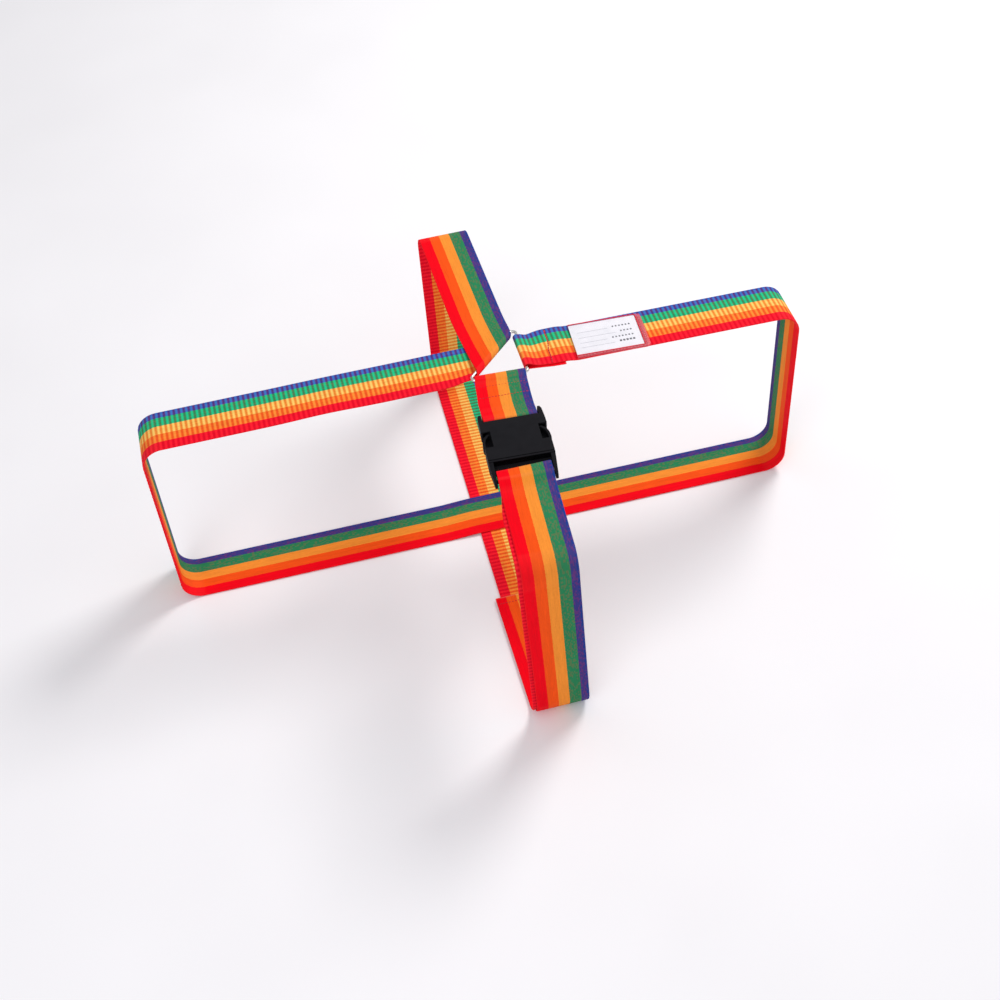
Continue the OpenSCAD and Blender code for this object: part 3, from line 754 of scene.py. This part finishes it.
def crosswise_run():
    """Far side, under-run, near side, load strand, the plug's two bars, and back as the tail."""
    top_x, low_x = NEAR_SIDE_TOP_X, NEAR_SIDE_LOW_X
    x = far_x(MID_Y)
    far = np.vstack([quarter((far_x(TURN_Y), TURN_Y, Z_TOP), (x, MID_Y, TURN_Z_TOP), True),
                     quarter((x, MID_Y, TURN_Z_LOW), (x, TURN_Y, Z_LOW), False)])
    near = np.vstack([quarter((low_x, -TURN_Y, Z_LOW), (low_x, -MID_Y, TURN_Z_LOW), True),
                      quarter((top_x, -MID_Y, TURN_Z_TOP), near_pt(NEAR_END, LOAD_Z), False)])
    load_r = BAR_1_R + BAR_GAP + HALF_T
    under_r = BAR_2_R + BAR_GAP + HALF_T
    over_r = under_r + PITCH
    # The webbing leaves one bar and meets the other along their common inner tangent
    gap = BAR_2 - BAR_1
    cross = math.degrees(math.atan2(gap[1], gap[0]) - math.acos((load_r + under_r) / np.linalg.norm(gap)))
    v2 = BAR_2[0]
    vz = np.vstack([[[v2 + 18, LOAD_Z], [v2 + 11.5, LOAD_Z + 0.9]], arc(BAR_2, over_r, 60, 90, 10),
                    arc(BAR_1, load_r, 90, 360 + cross, 50), arc(BAR_2, under_r, cross + 180, 60, 30),
                    [[v2 + 10, Z_TOP + 0.9], [v2 + 16.5, Z_TOP]]])
    bars = np.array([near_pt(v, z) for v, z in vz])
    inner_y = MID_Y - PITCH - 0.6
    top_x, low_x = top_x + TAIL_SHIFT, low_x + TAIL_SHIFT
    tail = np.vstack([[near_pt(v2 + 40, Z_TOP, TAIL_SHIFT)],
                      quarter(near_pt(NEAR_END, Z_TOP, TAIL_SHIFT), (top_x, -inner_y, TURN_Z_TOP), True),
                      quarter((low_x, -inner_y, TURN_Z_LOW), (low_x, -TURN_Y, Z_LOW + PITCH), False),
                      [[low_x, TAIL_END_Y, Z_LOW + PITCH]]])
    return stations(with_width(np.vstack([far, near, bars, tail])), across_x)


def short_strap_run():
    """Closed band round the ring's near bar and the socket's bar, its inner end sewn under the top layer."""
    v0, lap = RING_HALF, RING_HALF + 33
    bar_z, bar_r = PANEL_Z + 5.2, 2.2
    r = bar_r + BAR_GAP + HALF_T
    vz = np.vstack([[[lap, Z_TOP], [v0 + 4, Z_TOP]], arc((v0, RING_Z), HUG, 270, 90, 40),
                    [[v0 + 4, RING_Z + HUG - 0.3], [v0 + 9, Z_TOP_3 + 0.3], [lap, Z_TOP_3],
                     [SOCKET_BAR_V - 14, Z_TOP_3 + 0.6], [SOCKET_BAR_V - 4, bar_z + r - 0.3]],
                    arc((SOCKET_BAR_V, bar_z), r, 90, -90, 30),
                    [[SOCKET_BAR_V - 7, Z_TOP_2 + 0.1], [v0 + 8, Z_TOP_2]]])
    gathered = np.interp(vz[:, 0], [v0 + 4, v0 + 16], [1, 0])
    path = with_width([near_pt(v, z, NEAR_LOOP_SHIFT * g) for (v, z), g in zip(vz, gathered)],
                      WEB_W - (WEB_W - NEAR_LOOP_W) * gathered)
    return stations(path, NEAR_ACROSS, face=1)


BELT = joined(lengthwise_run(), left_run(), fold_run(), far_run(), crosswise_run())
BELT_ALONG = [lengths(BELT[0]), lengths(BELT[1])]
BELT_MIDDLE = (BELT[0] + BELT[1]) / 2


def cut_at(point, after=0):
    """Station nearest to a point, later than station number after."""
    return after + int(np.argmin(np.linalg.norm(BELT_MIDDLE[after:] - np.array(point), axis=1)))


def make_belt():
    y1 = right_y(MID_X)
    fold_y = (FOLD_Y0 + FOLD_Y1) / 2
    fold_start, fold_end = [[fold_y - DIAG_C + d, fold_y + d, z]
                            for d, z in ((0, Z_TOP), (CLIMB / math.sqrt(2), RING_Z + HUG))]
    slot = near_pt((BAR_1[0] + BAR_2[0]) / 2, (BAR_1[1] + BAR_2[1]) / 2)
    plan = [("belt_right_arm", "right_top", (TURN_X, right_y(TURN_X), Z_TOP)),
            ("belt_right_side", "right_side", (TURN_X, y1, Z_LOW)),
            ("belt_under_lengthwise", "bottom_lengthwise", (-TURN_X, LEFT_Y, Z_LOW)),
            ("belt_left_side", "left_side", (-TURN_X, LEFT_Y, Z_TOP)),
            ("belt_left_arm", "left_top", fold_start),
            ("belt_fold", "fold_over", fold_end),
            ("belt_far_arm", "far_top", (far_x(TURN_Y), TURN_Y, Z_TOP)),
            ("belt_far_side", "far_side", (far_x(MID_Y), TURN_Y, Z_LOW)),
            ("belt_under_crosswise", "bottom_crosswise", (NEAR_SIDE_LOW_X, -TURN_Y, Z_LOW)),
            ("belt_near_side", "near_side", near_pt(NEAR_END, LOAD_Z)),
            ("belt_near_arm", "near_top", slot),
            ("belt_tail_arm", "tail_top", near_pt(NEAR_END, Z_TOP, TAIL_SHIFT)),
            ("belt_tail_side", "tail_side", None)]
    bodies = {"belt_near_arm": "plug", "belt_tail_arm": "plug"}
    start = 0
    for name, node, end_point in plan:
        end = len(BELT[0]) - 1 if end_point is None else cut_at(end_point, start + 8)
        part = slice(start, end + 1)
        piece = ribbon(name, [a[part] for a in BELT], [a[part] for a in BELT_ALONG], WEBBING,
                       cut_start=start == 0, cut_end=end_point is None)
        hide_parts(node)
        if name in ("belt_near_side", "belt_tail_side"):
            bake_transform(piece)
        else:
            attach(piece, bodies.get(name, "root"))
        start = end
    run = short_strap_run()
    along = [lengths(run[0]), lengths(run[1])]
    strap = ribbon("short_strap", run, along, WEBBING, cut_start=True, cut_end=True)
    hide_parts("short_strap")
    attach(strap, "root")


make_belt()


# ---- Ring ----
def ring_path():
    """Centre line of the ring: three bars joined by rounded corners."""
    near = np.array([-math.cos(RING_TURN), -math.sin(RING_TURN)])
    right = np.array([-math.sin(RING_TURN), math.cos(RING_TURN)])
    square = np.array([RING_X, RING_Y]) + RING_HALF * (-right - near)

    def on_diagonal(d):
        return square + d * (DIAG_C + square[0] - square[1]) / (d[1] - d[0])

    points = [square, on_diagonal(right), on_diagonal(near)]
    out = []
    for i, r in enumerate((2.2, 3.0, 3.0)):
        before = unit(points[i] - points[i - 1])
        after = unit(points[(i + 1) % 3] - points[i])
        turn = math.acos(before @ after)
        start = points[i] - before * r * math.tan(turn / 2)
        middle = start + np.array([-before[1], before[0]]) * r
        a0 = math.atan2(before[1], before[0]) - math.pi / 2
        for a in np.linspace(a0, a0 + turn, 15):
            out.append(middle + r * np.array([math.cos(a), math.sin(a)]))
        # Points along the bar that follows
        length = np.linalg.norm(points[(i + 1) % 3] - points[i])
        for t in np.linspace(8, length - 12, 22):
            out.append(points[i] + after * t)
    return np.array([[p[0], p[1], RING_Z] for p in out])


def make_ring():
    path = ring_path()
    # Flash of the butt weld, in the middle of the near bar
    weld = near_pt(RING_HALF, RING_Z)
    radii = WIRE_R + 0.22 * np.exp(-(np.linalg.norm(path - weld, axis=1) / 1.4) ** 2)
    rings = tube(path, radii, 24, closed=True)
    ring = new_mesh("wire_ring_bent", rings.reshape(-1, 3), loft(rings, closed=True), NICKEL)
    dress(ring, "root", "wire_ring")


make_ring()


# ---- Stitches ----
def stitch(start, end, lift, radius, height):
    """One stitch that dips into the fabric at both ends, its section pressed to height of round."""
    t = np.linspace(0, 1, 9)
    start, end = np.array(start, float), np.array(end, float)
    path = start + (end - start) * t[:, None]
    path[:, 2] += lift * np.sin(math.pi * t) ** 0.6 - 0.25
    rings = tube(path, radius * (0.75 + 0.25 * np.sin(math.pi * t)), 10)
    middle = rings.mean(axis=1, keepdims=True)
    rings[..., 2:] = middle[..., 2:] + (rings - middle)[..., 2:] * height
    return rings


def seam(points, gap=0.25, lift=0.32, radius=0.36, height=1.0):
    """Stitches between neighbouring points, with a small gap at each needle hole."""
    verts, faces = [], []
    for a, b in zip(points, points[1:]):
        rings = stitch(a + (b - a) * gap / 2, b - (b - a) * gap / 2, lift, radius, height)
        offset = sum(len(v) for v in verts)
        verts.append(rings.reshape(-1, 3))
        faces += [[k + offset for k in f] for f in loft(rings)]
    return np.vstack(verts), faces


def put_seams(name, node, seams, material):
    """One piece of thread from several seams."""
    verts, faces = [], []
    for v, f in seams:
        offset = sum(len(x) for x in verts)
        verts.append(v)
        faces += [[k + offset for k in face] for face in f]
    dress(new_mesh(name, np.vstack(verts), faces, material), "root", node)


def make_stitches():
    across = np.linspace(WEB_W / 2 - 4, -WEB_W / 2 + 1, 15)
    drift = 53.5 + across * math.tan(math.radians(5)) + 0.5 * np.sin(across * 0.25)
    top = Z_TOP_2 + HALF_T
    # The thread lies pressed into the webbing, so that the card slides over it
    pressed = {"lift": 0.22, "radius": 0.6, "height": 0.5}
    loop = seam(np.array([right_pt(x, y, top) for x, y in zip(drift, across)]), 0.12, **pressed)
    # Locked start of the seam: a few short stitches on top of each other
    steps = ((0.5, -1.4), (-0.6, 1.0), (0.6, 0.8), (-0.5, -1.1))
    knot = seam(np.array([right_pt(drift[0] + dx, across[0] + dy, top + 0.03) for dx, dy in steps]),
                0.05, **pressed)
    put_seams("right_loop_seam", "right_loop_stitches", [loop, knot], RED_THREAD)
    rows = []
    for v, tilt in ((40, 0.010), (54.5, -0.004)):
        u = np.linspace(-WEB_W / 2 + 1.6, WEB_W / 2 - 1.6, 17)
        rows.append(seam(np.array([near_pt(v + tilt * a + 0.15 * math.sin(a * 1.7), Z_TOP_3 + HALF_T, a)
                                   for a in u])))
    put_seams("short_strap_seams", "short_strap_stitches", rows, RED_THREAD)
    x = np.linspace(-WEB_W / 2 + 2, WEB_W / 2 - 2, 16) + NEAR_SIDE_LOW_X + TAIL_SHIFT
    hem = seam(np.array([[a, TAIL_SEAM_Y + 0.1 * math.sin(a), Z_LOW + PITCH + HALF_T] for a in x]))
    put_seams("tail_hem_seam", "tail_hem_stitches", [hem], RED_THREAD)


make_stitches()


# ---- Buckle: moulded edges rounded on copies of the CAD solids ----
def finished(name, mesh, material, sharp):
    """Object with smooth shading from a mesh in metres."""
    mesh.polygons.foreach_set("use_smooth", [True] * len(mesh.polygons))
    mesh.set_sharp_from_angle(angle=math.radians(sharp))
    mesh.materials.clear()
    mesh.materials.append(material)
    obj = bpy.data.objects.new(name, mesh)
    bpy.context.scene.collection.objects.link(obj)
    return obj


def moulded(node, name, radius, body):
    """Copy of a CAD solid with rounded edges, in the buckle's plastic."""
    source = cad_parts[node]
    mesh = source.data.copy()
    mesh.transform(source.matrix_world)
    work = bmesh.new()
    work.from_mesh(mesh)
    bmesh.ops.remove_doubles(work, verts=work.verts, dist=2e-6)
    bmesh.ops.dissolve_limit(work, angle_limit=math.radians(0.6), verts=work.verts, edges=work.edges)
    bmesh.ops.recalc_face_normals(work, faces=work.faces)
    work.to_mesh(mesh)
    work.free()
    obj = finished(name, mesh, PLASTIC, 40)
    bevel = obj.modifiers.new("rounded_edges", "BEVEL")
    bevel.width = radius * MM
    bevel.segments = 3
    bevel.limit_method = "ANGLE"
    bevel.angle_limit = math.radians(28)
    bevel.harden_normals = True
    dress(obj, body, node)


moulded("buckle_socket", "buckle_socket_shell", 0.45, "root")
moulded("buckle_plug", "buckle_plug_frame", 0.4, "plug")


def plate(name, outline, holes, low, high, radius, material, place):
    """Flat part with rounded edges from an outline; place maps (x, y, z) in mm to the object's frame."""
    curve = bpy.data.curves.new(name, "CURVE")
    curve.dimensions = "2D"
    curve.fill_mode = "BOTH"
    curve.extrude = (high - low) / 2 - radius
    curve.bevel_depth = radius
    curve.bevel_resolution = 3
    curve.offset = -radius
    for loop in [outline, *holes]:
        spline = curve.splines.new("POLY")
        spline.points.add(len(loop) - 1)
        for point, (x, y) in zip(spline.points, loop):
            point.co = (x, y, 0, 1)
        spline.use_cyclic_u = True
    holder = bpy.data.objects.new(name + "_outline", curve)
    bpy.context.scene.collection.objects.link(holder)
    bpy.context.view_layer.update()
    mesh = bpy.data.meshes.new_from_object(holder.evaluated_get(bpy.context.evaluated_depsgraph_get()))
    bpy.data.objects.remove(holder)
    bpy.data.curves.remove(curve)
    middle = (low + high) / 2
    for v in mesh.vertices:
        v.co = Vector(place(v.co.x, v.co.y, v.co.z + middle)) * MM
    work = bmesh.new()
    work.from_mesh(mesh)
    bmesh.ops.remove_doubles(work, verts=work.verts, dist=1e-6)
    bmesh.ops.recalc_face_normals(work, faces=work.faces)
    work.to_mesh(mesh)
    work.free()
    mesh.name = name
    return finished(name, mesh, material, 35)


def rounded(points, radius, steps=5):
    """Outline with every corner cut to an arc-like curve; radius may be a list."""
    out = []
    count = len(points)
    radii = radius if isinstance(radius, (list, tuple)) else [radius] * count
    for i, r in enumerate(radii):
        b = np.array(points[i], float)
        a, c = np.array(points[i - 1], float), np.array(points[(i + 1) % count], float)
        start = b + (a - b) * min(0.45, r / np.linalg.norm(a - b))
        end = b + (c - b) * min(0.45, r / np.linalg.norm(c - b))
        for t in np.linspace(0, 1, steps + 1):
            out.append((1 - t) ** 2 * start + 2 * t * (1 - t) * b + t * t * end)
    return out


def make_prong(side, name, node):
    """Spring arm with a hooked release tab; the slot behind the tab shows as a dark window."""
    outline = [(23.2, -HINGE_V), (24.5, -131), (25.4, -125.4), (30.6, -125.5), (31.1, -122), (30.5, -115),
               (28.8, -110.6), (25.8, -107.1), (22.3, -104.2), (19.6, -107.5), (20.2, -120), (20, -132),
               (18.8, -HINGE_V)]
    slot = [(21.2, -108), (23.8, -108.5), (27.0, -112.6), (28.2, -117), (28.4, -123.6), (21.4, -123.0)]
    low, high = PANEL_Z + 3.4, PANEL_Z + 10.2
    floor_top = low + 1.4

    def place(x, y, z):
        return near_pt(-y, z, side * x)

    obj = plate(name, rounded(outline, 1.2), [rounded(slot, 0.8)], low, high, 0.5, PLASTIC, place)
    # The slot is blind: a thin floor closes it
    web = plate(name + "_web", rounded(outline, 1.2), [], low + 0.1, floor_top, 0.4, PLASTIC, place)
    with bpy.context.temp_override(active_object=obj, selected_editable_objects=[obj, web]):
        bpy.ops.object.join()
    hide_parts(node)
    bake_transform(obj)


make_prong(-1, "release_tab_left", "release_prong_left")
make_prong(1, "release_tab_right", "release_prong_right")


# ---- Address tag ----
CARD_L, CARD_W, CARD_T = 65.0, 42.5, 0.5
CARD_GAP = 0.3
TAG_MIDDLE = (109.8, -2.0)
TAG_TURN = math.radians(-2)
# The sheets reach LIP past the card at the open end; the binding has three widths
LIP = 0.4
BINDING_END, BINDING_NEAR, BINDING_FAR = 6.0, 3.6, 0.9
# Card, inner edge of the binding, and outer edge of the pocket
CARD_X0, CARD_X1, CARD_Y0, CARD_Y1 = -CARD_L / 2, CARD_L / 2, -CARD_W / 2, CARD_W / 2
INNER_X, INNER_Y0, INNER_Y1 = CARD_X1 + CARD_GAP, CARD_Y0 - CARD_GAP, CARD_Y1 + CARD_GAP
POCKET_X0, POCKET_X1 = CARD_X0 - LIP, INNER_X + BINDING_END
POCKET_Y0, POCKET_Y1 = INNER_Y0 - BINDING_NEAR, INNER_Y1 + BINDING_FAR
# Heights of the three layers, and of the binding's lower and upper side
CARD_Z = cad_box("tag_card")[0][2]
BACKING = [v[2] for v in cad_box("tag_backing")]
WINDOW = [v[2] for v in cad_box("tag_window")]
BINDING_LOW, BINDING_HIGH = BACKING[1] - 0.2, WINDOW[1] + 0.12


def tag_pt(x, y, z):
    """Point of the tag, from the card's middle: x along it, y across it, z up."""
    c, s = math.cos(TAG_TURN), math.sin(TAG_TURN)
    return right_pt(TAG_MIDDLE[0] + x * c - y * s, TAG_MIDDLE[1] + x * s + y * c, z)


def pocket_outline(shrink):
    x0, x1 = POCKET_X0 + shrink, POCKET_X1 - shrink
    y0, y1 = POCKET_Y0 + shrink, POCKET_Y1 - shrink
    return rounded([(x0, y0), (x1, y0), (x1, y1), (x0, y1)], [1.0, 5.5, 3.0, 1.0], 8)


def make_pocket():
    backing = plate("tag_backing_sheet", pocket_outline(0.9), [], BACKING[0] + 0.5, BACKING[1], 0.5, VINYL,
                    tag_pt)
    dress(backing, "root", "tag_backing")
    window = plate("tag_window_film", pocket_outline(0.7), [], WINDOW[0], WINDOW[1] - 0.08, 0.1, FILM, tag_pt)
    dress(window, "root", "tag_window")


def binding_edge(x1, y0, y1, near_r, far_r):
    """One edge of the binding: near side, closed end at x1, far side."""
    def corner(x, y, r, start):
        a = np.radians(np.linspace(start, start + 90, 9)[1:])
        return np.stack([x + r * np.cos(a), y + r * np.sin(a)], 1)

    return np.vstack([np.linspace((POCKET_X0, y0), (x1 - near_r, y0), 20),
                      corner(x1 - near_r, y0 + near_r, near_r, -90),
                      np.linspace((x1, y0 + near_r), (x1, y1 - far_r), 14)[1:],
                      corner(x1 - far_r, y1 - far_r, far_r, 0),
                      np.linspace((x1 - far_r, y1), (POCKET_X0, y1), 20)[1:]])


def make_binding():
    """Rolled strip along the near side, round the closed end and back along the far side."""
    outer = binding_edge(POCKET_X1, POCKET_Y0, POCKET_Y1, 5.0, 3.0)
    inner = binding_edge(INNER_X, INNER_Y0, INNER_Y1, 0.6, 0.6)
    # Rolled section: shares from the outer edge to the inner edge, with heights
    section = [(0.0, 0.1), (0.03, 0.35), (0.12, 0.72), (0.25, 0.95), (0.5, 0.92), (0.8, 1.0), (0.95, 0.92),
               (1.0, 0.7), (1.0, 0.3), (0.96, 0.05), (0.06, 0.05)]
    thick = BINDING_HIGH - BINDING_LOW
    rings = np.array([[tag_pt(*(o + (i - o) * share), BINDING_LOW + thick * h) for share, h in section]
                      for o, i in zip(outer, inner)])
    binding = new_mesh("tag_binding_strip", rings.reshape(-1, 3), loft(rings), VINYL, sharp=60)
    dress(binding, "root", "tag_binding")


def put_print(name, boxes, z, material):
    """Thin printed blocks on the card, with cut corners."""
    verts, faces = [], []
    for x0, x1, y0, y1 in boxes:
        outline = rounded([(x0, y0), (x1, y0), (x1, y1), (x0, y1)], min(0.5, (y1 - y0) * 0.4), 2)
        n = len(outline)
        base = len(verts)
        verts += [tag_pt(x, y, z + dz) for dz in (-0.02, 0.03) for x, y in outline]
        faces += [[base + k, base + (k + 1) % n, base + n + (k + 1) % n, base + n + k] for k in range(n)]
        faces += [[base + n + k for k in range(n)], [base + k for k in range(n)][::-1]]
    dress(new_mesh(name, verts, faces, material, smooth=False), "card")


def make_card():
    """Address card, with rows of plain marks and a rule beside each row."""
    corners = [(CARD_X0, CARD_Y0), (CARD_X1, CARD_Y0), (CARD_X1, CARD_Y1), (CARD_X0, CARD_Y1)]
    card = plate("tag_card_sheet", rounded(corners, 1.5), [], CARD_Z, CARD_Z + CARD_T, 0.12, CARD, tag_pt)
    dress(card, "card", "tag_card")
    marks, rules = [], []
    pitch = 3.2
    # Rows from the near side: share across the card, number of marks, half their size; the nearest is bold
    for share, count, half in ((0.245, 5, 1.25), (0.395, 7, 0.95), (0.565, 4, 0.95), (0.745, 6, 0.95)):
        y = CARD_Y0 + CARD_W * share
        for k in range(count):
            x = CARD_X1 - 7.5 - pitch * k
            marks.append((x - half, x + half * 0.7, y - half, y + half))
        rules.append((CARD_X0 + 6, CARD_X1 - 10 - pitch * count, y - 1.5, y - 1.1))
    put_print("tag_card_marks", marks, CARD_Z + CARD_T, INK)
    put_print("tag_card_rules", rules, CARD_Z + CARD_T, RULE)


def make_piping():
    """Welded red piping along the card's opening."""
    x0, x1, y0, y1 = POCKET_X0 + 0.5, INNER_X + 0.4, INNER_Y0 - 0.3, INNER_Y1 + 0.4
    line = [tag_pt(x, y, BINDING_HIGH - 0.1) for x, y in ((x0, y0), (x1, y0), (x1, y1), (x0, y1))]
    path = resample(soften(with_width(line, 1.0), 1.2), 1.5)
    rings = tube(path[:, :3], 0.42, 10)
    dress(new_mesh("tag_piping", rings.reshape(-1, 3), loft(rings), PIPING), "root")


def make_tag_seams():
    def row(start, end, count, z, lift, radius):
        points = np.array([tag_pt(x, y, z) for x, y in np.linspace(start, end, count)])
        return seam(points, 0.3, lift, radius)

    near_y, end_x, far_y = POCKET_Y0 + 1.8, POCKET_X1 - 3, POCKET_Y1 - 0.55
    z = BINDING_HIGH - 0.1
    rows = [row((POCKET_X0 + 2, near_y), (POCKET_X1 - 5, near_y), 21, z, 0.22, 0.22),
            row((end_x, POCKET_Y0 + 3), (end_x, POCKET_Y1 - 3), 14, z, 0.22, 0.22),
            row((POCKET_X0 + 2, far_y), (POCKET_X1 - 4, far_y), 21, z - 0.02, 0.2, 0.18)]
    put_seams("tag_seams", "tag_stitches", rows, PINK_THREAD)


make_pocket()
make_binding()
make_card()
make_piping()
make_tag_seams()
